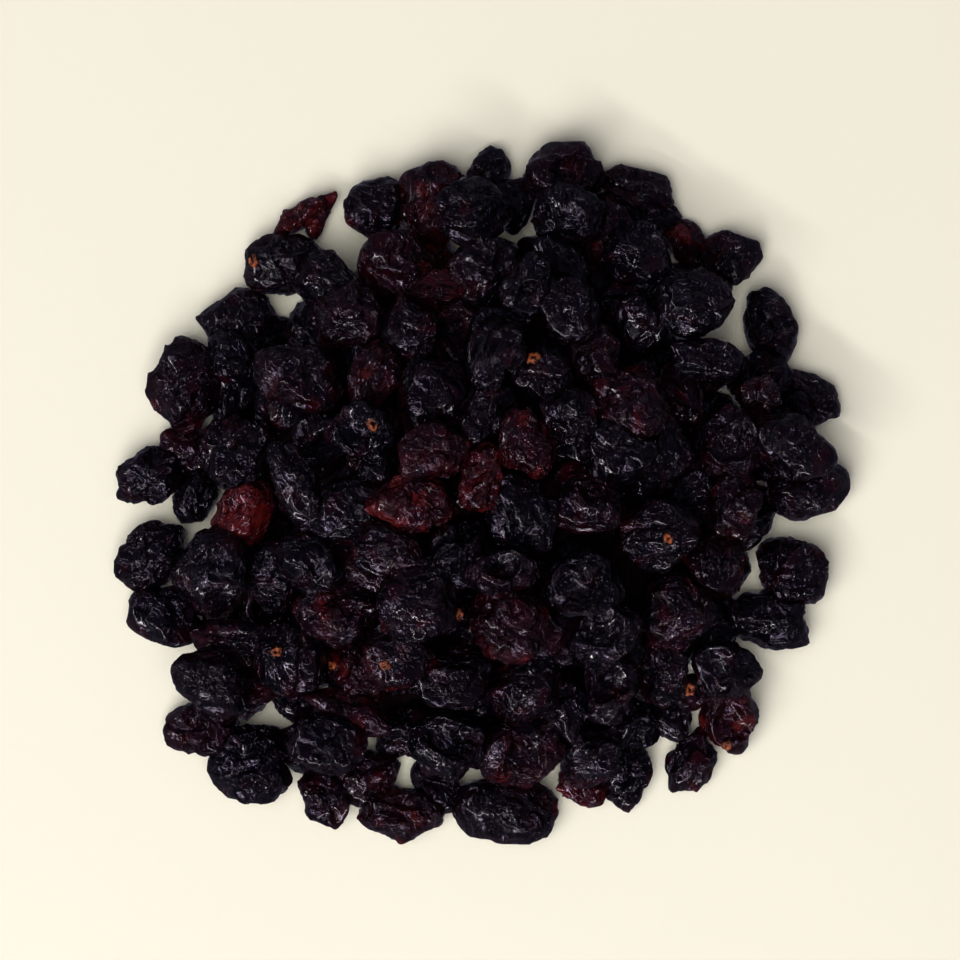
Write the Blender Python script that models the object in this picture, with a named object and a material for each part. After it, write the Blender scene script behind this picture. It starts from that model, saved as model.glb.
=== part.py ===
"""A loose heap of whole dried cranberries, as it lies on a table.

The berries of the rim and those that lie clear on top have places of their own. All the others
are dropped one by one, each into the deepest hollow left under the mound's surface. The berries
that show are then fused onto a smaller core, and the heap is cut flat where it rests.
"""

import math
import random
from dataclasses import dataclass

import bmesh
import bpy
import numpy as np
from mathutils import Matrix, Vector

MM = 0.001

# The mound, whose surface is where the middles of the topmost berries lie.
MOUND_RADIUS = 52 * MM
MOUND_EDGE = 6.2 * MM
MOUND_RISE = 15.8 * MM
MOUND_ROUNDNESS = 1.9  # 1 is a cone, and more is a dome
FILLED_RADIUS = 51 * MM  # berries are dropped inside it

# One dried cranberry.
BERRY_LENGTH = 13.0 * MM
BERRY_SPREAD = 1.3 * MM
SHORTEST_BERRY = 10.0 * MM
LONGEST_BERRY = 15.5 * MM
WIDTH_SHARE = (0.76, 0.95)  # of the length
THICKNESS_SHARE = (0.70, 0.86)  # of the width
MOST_LEAN = math.radians(32)
RIM_LEAN_SHARE = 0.2  # of the lean that a dropped berry would have
TOP_LEAN_SHARE = 0.5
FLAT_SPOT = 0.45 * MM  # how far a berry on the table is pressed flat

# How the berries lie on each other.
NESTING = 0.82  # middles this share of their outlines' distance apart, as the berries dent
TOUCHING = 0.84  # berries whose middles are nearer than this share of it touch
COVERING = 0.54  # a dropped berry keeps this share of it away from the rim's and those on top
PIT_MARGIN = 0.72  # the hollow under a berry on top is this share of it wide
PIT_DEPTH = 6.5 * MM
BED_DEPTH = 2.5 * MM  # how far the berries dropped first stay below the mound's surface
LOWEST_LAYER = 4.8 * MM  # berries lie on the table up to this height of their middles
UNEVENNESS = 2.2 * MM  # how far the heap strays from the mound's surface
DROP_SPACING = 2.0 * MM
MOST_MISSES = 30  # berries in all that find no room before a layer counts as full
SEED = 31

# A berry's shrunken form: flat panels around it, each with a dent.
PANELS = 11
PANEL_SCATTER = 0.35  # how far a panel's direction strays from an even spread
PANEL_DEPTH = (0.80, 0.97)  # of the distance from the middle to the plump skin
PANEL_DENT = (0.02, 0.13)  # of the same distance
DENT_WIDTH = 0.10
CORNER_SHARPNESS = 14
BERRY_ROUNDNESS = 2  # subdivisions of the icosphere that a berry is made from

# The core, a low dome, and what is fused onto it.
CORE_RADIUS = 44 * MM
CORE_HEIGHT = 15.5 * MM
CORE_ROUNDNESS = 3
CORE_GRIP = 2.5 * MM  # a berry that reaches this far into the core is held by it
SIGHT_LINES = 48
SIGHT_BLOCKING = 0.9  # of its mean size, the width of a berry that a sight line can't pass
LEAST_SHOWING = 0.12  # share of a berry's sight lines that leave the heap
MOST_TRIANGLES = 9900
UNDERGROUND_SIZE = 1.0

SKIN_COLOUR = (0.020, 0.007, 0.012, 1.0)
SKIN_ROUGHNESS = 0.38

# Berries of the rim, clockwise from the left: across and along from the heap's middle, length
# and width in millimetres, then the turn of the long axis in degrees.
RIM = (
    (-55.8, 2.4, 11.5, 9.4, 18),
    (-47.6, 7.6, 10.6, 7.2, -10),
    (-46.8, 0.0, 10.2, 7.4, 82),
    (-49.0, 18.0, 15.6, 12.4, 84),
    (-40.0, 17.0, 13.0, 8.0, 75),
    (-39.4, 29.8, 14.0, 10.2, -6),
    (-31.8, 38.6, 14.2, 10.4, 8),
    (-19.0, 48.0, 10.4, 10.0, 60),
    (-7.6, 48.4, 14.0, 11.8, 80),
    (1.8, 53.2, 9.4, 7.0, 80),
    (5.0, 48.2, 9.5, 7.6, 65),
    (14.0, 53.2, 14.0, 11.4, 4),
    (26.6, 50.6, 12.4, 7.4, -12),
    (29.0, 46.0, 9.6, 6.4, 0),
    (34.6, 42.2, 7.6, 6.4, -50),
    (42.0, 39.4, 10.4, 9.2, 12),
    (48.8, 28.2, 13.0, 8.6, -72),
    (55.2, 16.6, 11.8, 8.4, -35),
    (54.6, 1.4, 14.4, 10.2, 18),
    (52.6, -11.8, 13.0, 11.2, -52),
    (50.0, -20.4, 14.2, 9.6, -10),
    (39.0, -22.0, 12.4, 8.4, 80),
    (41.6, -36.0, 14.0, 9.8, -78),
    (34.4, -45.6, 12.2, 8.0, 66),
    (24.6, -47.6, 11.6, 8.2, 80),
    (17.0, -48.2, 8.6, 7.6, 0),
    (4.6, -52.8, 17.0, 11.4, 2),
    (-5.8, -47.4, 10.4, 7.2, -55),
    (-12.4, -53.4, 14.0, 9.6, -6),
    (-25.0, -50.8, 10.6, 8.6, -60),
    (-18.0, -46.6, 10.6, 8.2, 32),
    (-36.4, -45.2, 14.0, 13.2, 40),
    (-45.8, -38.8, 12.8, 9.2, -6),
    (-51.8, -19.8, 12.8, 9.8, -15),
    (-54.6, -9.8, 13.4, 10.0, 36),
)

# Spots where the table shows between the berries, in the same terms.
BARE_SPOTS = (
    (-22.0, 41.7, 4.0, 2.0, 70),
    (-32.0, 32.0, 2.0, 1.5, 0),
    (43.8, -16.7, 2.0, 1.5, 0),
    (-34.2, -36.2, 3.0, 1.5, 60),
    (-10.9, -45.5, 2.5, 1.5, 0),
    (43.0, 31.0, 3.0, 2.0, 70),
)

# Berries that lie clear on top, in the same terms.
ON_TOP = (
    (-38.8, -3.5, 13.2, 9.2, 50),
    (-10.8, -1.2, 15.4, 10.4, 0),
    (0.8, 3.0, 11.2, 7.2, 82),
    (7.8, 8.3, 12.0, 9.8, -66),
    (-17.2, 19.2, 12.8, 8.2, 74),
    (10.4, 20.0, 11.4, 9.0, -12),
    (30.4, -6.7, 13.2, 12.0, 10),
    (42.3, -1.7, 13.6, 9.0, 80),
    (7.8, 34.2, 12.4, 7.6, 65),
    (14.0, 38.8, 11.0, 5.6, -42),
    (35.4, 31.7, 13.8, 11.2, 5),
    (26.2, 40.0, 11.4, 10.6, 0),
    (-9.6, -17.2, 14.6, 13.4, 20),
    (-23.0, -19.2, 15.2, 11.2, 8),
    (17.8, -0.8, 14.0, 13.0, -40),
    (17.6, -14.4, 12.8, 11.4, 0),
    (4.2, -12.8, 12.6, 8.0, 0),
    (-39.6, -24.8, 16.2, 8.0, 0),
    (-42.8, -11.4, 13.4, 10.4, 80),
    (-33.6, -13.2, 12.0, 9.0, 70),
    (-21.4, -35.6, 15.6, 6.6, -24),
    (-24.8, -41.2, 12.8, 9.8, 0),
    (-3.6, -30.0, 13.2, 10.8, 20),
    (8.0, -31.6, 13.0, 11.0, 30),
    (21.8, -31.8, 12.0, 9.2, 78),
    (7.2, -42.4, 14.2, 11.8, 20),
    (-29.4, 19.4, 15.2, 11.0, -10),
    (-38.6, 7.0, 12.2, 8.8, 60),
    (-29.8, 1.6, 15.6, 7.8, -62),
    (-7.6, 16.0, 13.6, 11.4, 70),
    (24.6, 15.8, 14.6, 11.6, -15),
    (38.0, 22.2, 12.8, 7.2, -6),
    (46.4, 16.4, 8.0, 7.4, 60),
    (52.0, 8.0, 15.2, 10.8, -22),
    (-29.0, 47.2, 10.2, 5.4, 34),
    (35.6, -33.0, 8.6, 6.2, -20),
    (-43.8, -31.0, 13.4, 10.2, -45),
)


@dataclass
class Berry:
    """A berry's number, place, size and tilt."""

    number: int
    x: float
    y: float
    z: float
    length: float
    width: float
    thickness: float
    turn: float
    lean: float
    lean_way: float

    def axes(self):
        """The turn and lean as a matrix, whose columns are the directions of the berry's axes."""
        lean_axis = Vector((math.cos(self.lean_way), math.sin(self.lean_way), 0))
        return Matrix.Rotation(self.lean, 3, lean_axis) @ Matrix.Rotation(self.turn, 3, "Z")

    def half_sizes(self):
        """Half the length, width and thickness."""
        return np.array((self.length, self.width, self.thickness)) / 2

    def half_height(self):
        """How far the berry reaches above its middle as it leans."""
        return float(np.linalg.norm(self.half_sizes() * np.array(self.axes())[2]))

    def reach(self, way):
        """How far the berry reaches from its middle in a level direction, one angle or an array."""
        turned = np.asarray(way) - self.turn
        return np.hypot(self.length / 2 * np.cos(turned), self.width / 2 * np.sin(turned))


def mound_height(x, y):
    """Height of the middle of a berry that lies on the mound's surface at x, y."""
    out = np.minimum(np.hypot(x, y) / MOUND_RADIUS, 1.0)
    return MOUND_EDGE + MOUND_RISE * (1 - out**MOUND_ROUNDNESS)


def random_berry(draw, number):
    """A berry of chance size and tilt, not yet laid."""
    length = min(max(draw.gauss(BERRY_LENGTH, BERRY_SPREAD), SHORTEST_BERRY), LONGEST_BERRY)
    width = length * draw.uniform(*WIDTH_SHARE)
    thickness = width * draw.uniform(*THICKNESS_SHARE)
    turn = draw.uniform(0, math.pi)
    lean = MOST_LEAN * draw.random()
    return Berry(number, 0, 0, 0, length, width, thickness, turn, lean, draw.uniform(0, math.tau))


def placed_berries(entries, lean_share, draw):
    """Berries with the places, sizes and turns that the entries give."""
    berries = []
    for x, y, length, width, turn in entries:
        berry = random_berry(draw, len(berries))
        berry.x, berry.y = x * MM, y * MM
        berry.length, berry.width = length * MM, width * MM
        berry.thickness = berry.width * draw.uniform(*THICKNESS_SHARE)
        berry.turn = math.radians(turn)
        berry.lean *= lean_share
        berries.append(berry)
    return berries


def resting_height(berry, x, y, heap):
    """Height of the berry's middle once it is dropped onto the heap at x, y, which may be arrays."""
    height = np.full(np.shape(x), berry.half_height() - FLAT_SPOT)
    for other in heap:
        away = np.hypot(x - other.x, y - other.y)
        way = np.arctan2(y - other.y, x - other.x)
        touching = NESTING * (berry.reach(way) + other.reach(way))
        over = np.maximum(1 - (away / touching) ** 2, 0)
        rise = NESTING * (berry.half_height() + other.half_height()) * np.sqrt(over)
        height = np.where(over > 0, np.maximum(height, other.z + rise), height)
    return height


def clear_of(x, y, berry, others, share):
    """Where x, y keeps the berry away from the others by this share of their outlines' distance."""
    clear = np.ones(np.shape(x), bool)
    for other in others:
        away = np.hypot(x - other.x, y - other.y)
        way = np.arctan2(y - other.y, x - other.x)
        clear &= away > share * (berry.reach(way) + other.reach(way))
    return clear


def drop_berries(heap, depth, pits, kept_clear, bare_spots, draw):
    """Drops berries into the deepest hollow until none lies deeper under the mound's surface."""
    steps = np.arange(-FILLED_RADIUS, FILLED_RADIUS, DROP_SPACING)
    x, y = (side.ravel() for side in np.meshgrid(steps, steps))
    inside = np.hypot(x, y) < FILLED_RADIUS
    x, y = x[inside], y[inside]
    surface = mound_height(x, y) + np.array([draw.uniform(-UNEVENNESS, UNEVENNESS) for _ in x])
    misses = 0
    while misses < MOST_MISSES:
        berry = random_berry(draw, len(heap))
        rest = resting_height(berry, x, y, heap)
        below = np.where(clear_of(x, y, berry, pits, PIT_MARGIN), depth, PIT_DEPTH)
        room = np.maximum(surface - below, LOWEST_LAYER) - rest
        room[~clear_of(x, y, berry, kept_clear, COVERING)] = -1
        room[~clear_of(x, y, berry, bare_spots, 1)] = -1
        best = int(np.argmax(room))
        if room[best] < 0:
            misses += 1
            continue
        berry.x, berry.y, berry.z = float(x[best]), float(y[best]), float(rest[best])
        heap.append(berry)


def reaches_core(berry):
    """Whether the berry's near side or its underside lies well inside the core."""
    away = math.hypot(berry.x, berry.y)
    near_side = max(away - berry.reach(math.atan2(berry.y, berry.x)) + CORE_GRIP, 0)
    underside = max(berry.z - berry.half_height() + CORE_GRIP, 0)
    beside = math.hypot(near_side / CORE_RADIUS, berry.z / CORE_HEIGHT)
    above = math.hypot(away / CORE_RADIUS, underside / CORE_HEIGHT)
    return min(beside, above) < 1


def slide_to(berry, other):
    """How far the berry slides to touch the other, and which way. It can't if it lies too high."""
    way = math.atan2(other.y - berry.y, other.x - berry.x)
    level = TOUCHING**2 - ((other.z - berry.z) / (other.half_height() + berry.half_height())) ** 2
    if level <= 0:
        return math.inf, way
    touching = (other.reach(way) + berry.reach(way)) * math.sqrt(level)
    return float(math.hypot(other.x - berry.x, other.y - berry.y) - touching), way


def gather(heap):
    """Slides each berry that lies apart, the nearest first, against one that doesn't."""
    apart = [berry for berry in heap if not reaches_core(berry)]
    held = [berry for berry in heap if reaches_core(berry)]
    slides = [min(slide_to(berry, other) for other in held) for berry in apart]
    while apart:
        nearest = slides.index(min(slides))
        berry = apart.pop(nearest)
        distance, way = slides.pop(nearest)
        if distance > 0:
            berry.x += distance * math.cos(way)
            berry.y += distance * math.sin(way)
        slides = [min(slide, slide_to(other, berry)) for slide, other in zip(slides, apart)]


def lay_heap():
    """All the heap's berries, from the table up."""
    draw = random.Random(SEED)
    rim = placed_berries(RIM, RIM_LEAN_SHARE, draw)
    on_top = placed_berries(ON_TOP, TOP_LEAN_SHARE, draw)
    bare_spots = placed_berries(BARE_SPOTS, 0, draw)
    for berry in rim:
        berry.z = float(resting_height(berry, berry.x, berry.y, []))
    heap = list(rim)
    drop_berries(heap, BED_DEPTH, on_top, rim, bare_spots, draw)
    for berry in on_top:
        berry.z = float(resting_height(berry, berry.x, berry.y, heap))
        heap.append(berry)
    drop_berries(heap, 0, [], rim + on_top, bare_spots, draw)
    gather(heap)
    for number, berry in enumerate(heap):
        berry.number = number
    return heap


def sphere_points(count):
    """Directions spread evenly over a sphere, on a spiral."""
    number = np.arange(count) + 0.5
    rise = 1 - 2 * number / count
    turn = number * math.pi * (3 - math.sqrt(5))
    level = np.sqrt(1 - rise**2)
    return np.stack((level * np.cos(turn), level * np.sin(turn), rise), axis=1)


def share_showing(berry, heap):
    """The share of the sight lines from the berry's skin, level or upwards, that leave the heap."""
    ways = sphere_points(2 * SIGHT_LINES)[:SIGHT_LINES]
    middle = np.array((berry.x, berry.y, berry.z))
    starts = middle + ways * berry.half_sizes().mean()
    free = np.ones(SIGHT_LINES, bool)
    for other in heap:
        if other is berry:
            continue
        towards = np.array((other.x, other.y, other.z)) - starts
        along = np.einsum("ij,ij->i", towards, ways)
        aside = np.einsum("ij,ij->i", towards, towards) - along**2
        free &= (along < 0) | (aside > (SIGHT_BLOCKING * other.half_sizes().mean()) ** 2)
    return free.mean()


def berry_skin(berry, ways):
    """Points of the berry's skin along unit directions in its own axes, out to its stated size."""
    draw = random.Random(berry.number)
    half = berry.half_sizes()
    shrunk = np.linalg.norm(ways / half, axis=1) ** CORNER_SHARPNESS
    dent = np.zeros(len(ways))
    for way in sphere_points(PANELS):
        panel = way + np.array([draw.uniform(-PANEL_SCATTER, PANEL_SCATTER) for _ in range(3)])
        panel /= np.linalg.norm(panel)
        distance = np.linalg.norm(half * panel) * draw.uniform(*PANEL_DEPTH)
        facing = ways @ panel
        shrunk += (np.maximum(facing, 0) / distance) ** CORNER_SHARPNESS
        dent += draw.uniform(*PANEL_DENT) * np.exp((facing - 1) / DENT_WIDTH)
    skin = ways * (shrunk ** (-1 / CORNER_SHARPNESS) * (1 - dent))[:, None]
    low, high = skin.min(axis=0), skin.max(axis=0)
    return (skin - (low + high) / 2) * half * 2 / (high - low)


def new_object(name, solid, collection):
    """A mesh object in the collection, from a bmesh that is then freed."""
    mesh = bpy.data.meshes.new(name)
    solid.to_mesh(mesh)
    solid.free()
    thing = bpy.data.objects.new(name, mesh)
    collection.objects.link(thing)
    return thing


def add_berry(berry, collection):
    """One berry as a few-sided solid."""
    solid = bmesh.new()
    bmesh.ops.create_icosphere(solid, subdivisions=BERRY_ROUNDNESS, radius=1)
    ways = np.array([vertex.co.normalized() for vertex in solid.verts])
    for vertex, place in zip(solid.verts, berry_skin(berry, ways)):
        vertex.co = place
    thing = new_object(f"berry_{berry.number}", solid, collection)
    thing.matrix_world = Matrix.Translation((berry.x, berry.y, berry.z)) @ berry.axes().to_4x4()


def add_core(collection):
    """The inside of the heap, a low dome that the berries sit in."""
    solid = bmesh.new()
    bmesh.ops.create_icosphere(solid, subdivisions=CORE_ROUNDNESS, radius=1)
    bmesh.ops.scale(solid, vec=(CORE_RADIUS, CORE_RADIUS, CORE_HEIGHT), verts=solid.verts)
    return new_object("cranberry_heap", solid, collection)


def add_underground(collection):
    """All that lies below the table, to cut the heap flat with."""
    solid = bmesh.new()
    bmesh.ops.create_cube(solid, size=1)
    bmesh.ops.scale(solid, vec=(UNDERGROUND_SIZE,) * 3, verts=solid.verts)
    bmesh.ops.translate(solid, vec=(0, 0, -UNDERGROUND_SIZE / 2), verts=solid.verts)
    return new_object("underground", solid, collection)


def apply_modifier(thing, kind, **settings):
    """Adds a modifier with these settings to the object and makes its result the object's mesh."""
    modifier = thing.modifiers.new(kind.lower(), kind)
    for name, value in settings.items():
        setattr(modifier, name, value)
    graph = bpy.context.evaluated_depsgraph_get()
    mesh = bpy.data.meshes.new_from_object(thing.evaluated_get(graph))
    thing.modifiers.clear()
    thing.data = mesh


def connected_faces(solid):
    """The faces of each separate body in the bmesh."""
    left = set(solid.faces)
    found = []
    while left:
        body = [left.pop()]
        for face in body:
            neighbours = {near for side in face.edges for near in side.link_faces} & left
            left -= neighbours
            body += neighbours
        found.append(body)
    return found


def keep_one_body(thing):
    """Drops loose scraps, fills hollows that fusing sealed, and splits the faces into triangles."""
    solid = bmesh.new()
    solid.from_mesh(thing.data)
    bodies = sorted(connected_faces(solid), key=len)
    bmesh.ops.delete(solid, geom=[face for body in bodies[:-1] for face in body], context="FACES")
    bmesh.ops.triangulate(solid, faces=solid.faces)
    solid.to_mesh(thing.data)
    solid.free()


def centre(thing):
    """Moves the object's mesh so that the middle of its outline is on the vertical axis."""
    across = [vertex.co.x for vertex in thing.data.vertices]
    along = [vertex.co.y for vertex in thing.data.vertices]
    middle = Vector((min(across) + max(across), min(along) + max(along), 0)) / 2
    thing.data.transform(Matrix.Translation(-middle))


def dried_skin():
    """The berries' near-black purple skin, with a soft shine."""
    material = bpy.data.materials.new("dried_skin")
    material.use_nodes = True
    shader = material.node_tree.nodes["Principled BSDF"]
    shader.inputs["Base Color"].default_value = SKIN_COLOUR
    shader.inputs["Roughness"].default_value = SKIN_ROUGHNESS
    shader.inputs["Metallic"].default_value = 0.0
    return material


def main():
    """Lays the heap, fuses the berries that show onto the core and cuts it flat underneath."""
    for thing in list(bpy.data.objects):
        bpy.data.objects.remove(thing)
    scene = bpy.context.scene
    berries = bpy.data.collections.new("berries_that_show")
    scene.collection.children.link(berries)
    heap = lay_heap()
    for berry in heap:
        if share_showing(berry, heap) > LEAST_SHOWING:
            add_berry(berry, berries)
    body = add_core(scene.collection)
    fused = {"operation": "UNION", "operand_type": "COLLECTION", "collection": berries}
    apply_modifier(body, "BOOLEAN", solver="MANIFOLD", **fused)
    keep_one_body(body)
    apply_modifier(body, "DECIMATE", ratio=MOST_TRIANGLES / len(body.data.polygons))
    underground = add_underground(scene.collection)
    apply_modifier(body, "BOOLEAN", solver="MANIFOLD", operation="DIFFERENCE", object=underground)
    keep_one_body(body)
    for thing in [*berries.objects, underground]:
        bpy.data.objects.remove(thing)
    bpy.data.collections.remove(berries)
    centre(body)
    body.data.materials.append(dried_skin())


main()
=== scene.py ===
"""A loose round heap of dried cranberries on a pale table, in soft light from the lower left.

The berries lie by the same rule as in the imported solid, so that each detailed berry stands where
its plain one does. They are joined into one piece for each way in which a berry has shrunk.
"""

import itertools
import logging
import math
import random
from collections.abc import Callable, Iterator
from dataclasses import dataclass, field
from enum import Enum
from functools import cache

import bmesh
import bpy
import numpy as np
from mathutils import Matrix, Vector


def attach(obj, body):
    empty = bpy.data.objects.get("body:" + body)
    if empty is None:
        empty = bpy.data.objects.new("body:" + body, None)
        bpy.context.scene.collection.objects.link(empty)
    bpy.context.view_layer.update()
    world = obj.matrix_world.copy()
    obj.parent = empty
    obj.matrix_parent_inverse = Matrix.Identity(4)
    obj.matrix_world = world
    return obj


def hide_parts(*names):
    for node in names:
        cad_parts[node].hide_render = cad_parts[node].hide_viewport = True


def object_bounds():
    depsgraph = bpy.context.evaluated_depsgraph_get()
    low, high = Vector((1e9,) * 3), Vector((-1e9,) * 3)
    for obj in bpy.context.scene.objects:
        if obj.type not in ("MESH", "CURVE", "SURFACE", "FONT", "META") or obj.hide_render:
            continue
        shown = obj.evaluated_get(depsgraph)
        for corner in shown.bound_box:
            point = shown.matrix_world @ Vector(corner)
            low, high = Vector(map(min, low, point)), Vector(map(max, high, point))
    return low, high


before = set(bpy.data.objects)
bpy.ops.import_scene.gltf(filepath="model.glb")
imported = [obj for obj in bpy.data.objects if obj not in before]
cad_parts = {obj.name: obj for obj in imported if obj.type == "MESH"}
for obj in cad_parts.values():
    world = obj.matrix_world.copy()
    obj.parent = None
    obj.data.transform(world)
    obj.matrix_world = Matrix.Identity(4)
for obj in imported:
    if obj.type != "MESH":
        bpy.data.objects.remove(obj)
CAD_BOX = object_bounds()

MM = 0.001
BODY = "root"
NODE = "cranberry_heap"

Pair = tuple[float, float]
Range = tuple[float, float]
Colour = tuple[float, float, float, float]
Stops = list[tuple[float, Colour]]
Inputs = dict[str | int, object]
Points = np.ndarray
Values = np.ndarray
Chance = np.random.Generator


class Form(Enum):
    """How a berry has shrunk as it dried."""

    PLUMP = "plump"
    CRINKLED = "crinkled"
    FOLDED = "folded"
    CUPPED = "cupped"
    POINTED = "pointed"
    TORN = "torn"


PLUMP, CRINKLED, FOLDED, CUPPED, POINTED, TORN = Form


@dataclass(frozen=True)
class Place:
    """Where one berry lies and how it looks, in millimetres from the layout's middle and degrees.

    The lift raises it above where it would come to rest.
    """

    x: float
    y: float
    length: float
    width: float
    turn: float
    form: Form = PLUMP
    redness: float = 0.0
    lift: float = 0.0


# Berries of the rim, clockwise from the left.
RIM = (
    Place(-55.8, 2.4, 11.5, 9.4, 18, CRINKLED, 0.12),
    Place(-47.6, 7.6, 10.6, 7.2, -10, FOLDED, 0.42),
    Place(-46.8, 0.0, 10.2, 7.4, 82, CRINKLED, 0.05),
    Place(-49.0, 18.0, 15.6, 12.4, 84, CRINKLED, 0.30),
    Place(-40.0, 17.0, 13.0, 8.0, 75, FOLDED, 0.05),
    Place(-39.4, 29.8, 14.0, 10.2, -6, POINTED, 0.12),
    Place(-31.8, 38.6, 14.2, 10.4, 8, CRINKLED, 0.15),
    Place(-19.0, 48.0, 10.4, 10.0, 60, PLUMP, 0.06),
    Place(-7.6, 48.4, 14.0, 11.8, 80, FOLDED, 0.52),
    Place(1.8, 53.2, 9.4, 7.0, 80, PLUMP, 0.15),
    Place(5.0, 48.2, 9.5, 7.6, 65, PLUMP, 0.05),
    Place(14.0, 53.2, 14.0, 11.4, 4, CUPPED, 0.28),
    Place(26.6, 50.6, 12.4, 7.4, -12, FOLDED, 0.25),
    Place(29.0, 46.0, 9.6, 6.4, 0, PLUMP, 0.15),
    Place(34.6, 42.2, 7.6, 6.4, -50, TORN, 0.50),
    Place(42.0, 39.4, 10.4, 9.2, 12, FOLDED, 0.22),
    Place(48.8, 28.2, 13.0, 8.6, -72, FOLDED, 0.08),
    Place(55.2, 16.6, 11.8, 8.4, -35, FOLDED, 0.15),
    Place(54.6, 1.4, 14.4, 10.2, 18, PLUMP, 0.20),
    Place(52.6, -11.8, 13.0, 11.2, -52, CRINKLED, 0.18),
    Place(50.0, -20.4, 14.2, 9.6, -10, POINTED, 0.05),
    Place(39.0, -22.0, 12.4, 8.4, 80, CRINKLED, 0.05),
    Place(41.6, -36.0, 14.0, 9.8, -78, CUPPED, 0.46),
    Place(34.4, -45.6, 12.2, 8.0, 66, POINTED, 0.26),
    Place(24.6, -47.6, 11.6, 8.2, 80, FOLDED, 0.10),
    Place(17.0, -48.2, 8.6, 7.6, 0, TORN, 0.62),
    Place(4.6, -52.8, 17.0, 11.4, 2, CRINKLED, 0.18),
    Place(-5.8, -47.4, 10.4, 7.2, -55, PLUMP, 0.10),
    Place(-12.4, -53.4, 14.0, 9.6, -6, TORN, 0.34),
    Place(-25.0, -50.8, 10.6, 8.6, -60, CRINKLED, 0.26),
    Place(-18.0, -46.6, 10.6, 8.2, 32, FOLDED, 0.34),
    Place(-36.4, -45.2, 14.0, 13.2, 40, FOLDED, 0.02),
    Place(-45.8, -38.8, 12.8, 9.2, -6, TORN, 0.32),
    Place(-51.8, -19.8, 12.8, 9.8, -15, PLUMP, 0.12),
    Place(-54.6, -9.8, 13.4, 10.0, 36, CRINKLED, 0.15),
)

# Spots where the table shows between the berries.
BARE_SPOTS = (
    Place(-22.0, 41.7, 4.0, 2.0, 70),
    Place(-32.0, 32.0, 2.0, 1.5, 0),
    Place(43.8, -16.7, 2.0, 1.5, 0),
    Place(-34.2, -36.2, 3.0, 1.5, 60),
    Place(-10.9, -45.5, 2.5, 1.5, 0),
    Place(43.0, 31.0, 3.0, 2.0, 70),
)

# Berries that lie clear on top.
ON_TOP = (
    Place(-38.8, -3.5, 13.2, 9.2, 50, PLUMP, 0.84, lift=2.0),
    Place(-10.8, -1.2, 15.4, 10.4, 0, POINTED, 0.72),
    Place(0.8, 3.0, 11.2, 7.2, 82, CRINKLED, 0.74),
    Place(7.8, 8.3, 12.0, 9.8, -66, CRINKLED, 0.64),
    Place(-17.2, 19.2, 12.8, 8.2, 74, FOLDED, 0.50),
    Place(10.4, 20.0, 11.4, 9.0, -12, CRINKLED, 0.12),
    Place(30.4, -6.7, 13.2, 12.0, 10, TORN, 0.16),
    Place(42.3, -1.7, 13.6, 9.0, 80, CRINKLED, 0.30),
    Place(7.8, 34.2, 12.4, 7.6, 65, CUPPED, 0.05),
    Place(14.0, 38.8, 11.0, 5.6, -42, PLUMP, 0.00),
    Place(35.4, 31.7, 13.8, 11.2, 5, PLUMP, 0.00),
    Place(26.2, 40.0, 11.4, 10.6, 0, PLUMP, 0.02),
    Place(-9.6, -17.2, 14.6, 13.4, 20, CRINKLED, 0.24),
    Place(-23.0, -19.2, 15.2, 11.2, 8, FOLDED, 0.30),
    Place(17.8, -0.8, 14.0, 13.0, -40, FOLDED, 0.38),
    Place(17.6, -14.4, 12.8, 11.4, 0, CUPPED, 0.04),
    Place(4.2, -12.8, 12.6, 8.0, 0, CUPPED, 0.18),
    Place(-39.6, -24.8, 16.2, 8.0, 0, FOLDED, 0.20),
    Place(-42.8, -11.4, 13.4, 10.4, 80, CRINKLED, 0.02),
    Place(-33.6, -13.2, 12.0, 9.0, 70, CRINKLED, 0.02),
    Place(-21.4, -35.6, 15.6, 6.6, -24, POINTED, 0.40),
    Place(-24.8, -41.2, 12.8, 9.8, 0, CRINKLED, 0.10),
    Place(-3.6, -30.0, 13.2, 10.8, 20, FOLDED, 0.14),
    Place(8.0, -31.6, 13.0, 11.0, 30, CRINKLED, 0.24),
    Place(21.8, -31.8, 12.0, 9.2, 78, CUPPED, 0.20),
    Place(7.2, -42.4, 14.2, 11.8, 20, CUPPED, 0.32),
    Place(-29.4, 19.4, 15.2, 11.0, -10, CRINKLED, 0.25),
    Place(-38.6, 7.0, 12.2, 8.8, 60, FOLDED, 0.10),
    Place(-29.8, 1.6, 15.6, 7.8, -62, CRINKLED, 0.05),
    Place(-7.6, 16.0, 13.6, 11.4, 70, PLUMP, 0.18),
    Place(24.6, 15.8, 14.6, 11.6, -15, CRINKLED, 0.40),
    Place(38.0, 22.2, 12.8, 7.2, -6, PLUMP, 0.16),
    Place(46.4, 16.4, 8.0, 7.4, 60, POINTED, 0.40),
    Place(52.0, 8.0, 15.2, 10.8, -22, PLUMP, 0.16),
    Place(-29.0, 47.2, 10.2, 5.4, 34, TORN, 0.80),
    Place(35.6, -33.0, 8.6, 6.2, -20, PLUMP, 0.34),
    Place(-43.8, -31.0, 13.4, 10.2, -45, CRINKLED, 0.12),
)

# Small berries tucked into gaps. They lie on the table where they have no lift.
TUCKED = (
    Place(-30.2, -33.6, 8.8, 7.4, -40, POINTED, 0.10),
    Place(-41.8, -19.8, 8.4, 5.6, 8, FOLDED, 0.15),
    Place(32.6, -36.8, 9.0, 7.4, -60, POINTED, 0.12),
    Place(-34.6, 27.0, 8.0, 6.0, 30, PLUMP, 0.05),
    Place(-26.4, 46.8, 8.8, 3.8, 62, TORN, 0.66, lift=1.5),
    Place(-6.0, 33.6, 11.6, 7.4, 15, TORN, 0.45, lift=10.0),
)


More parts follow.
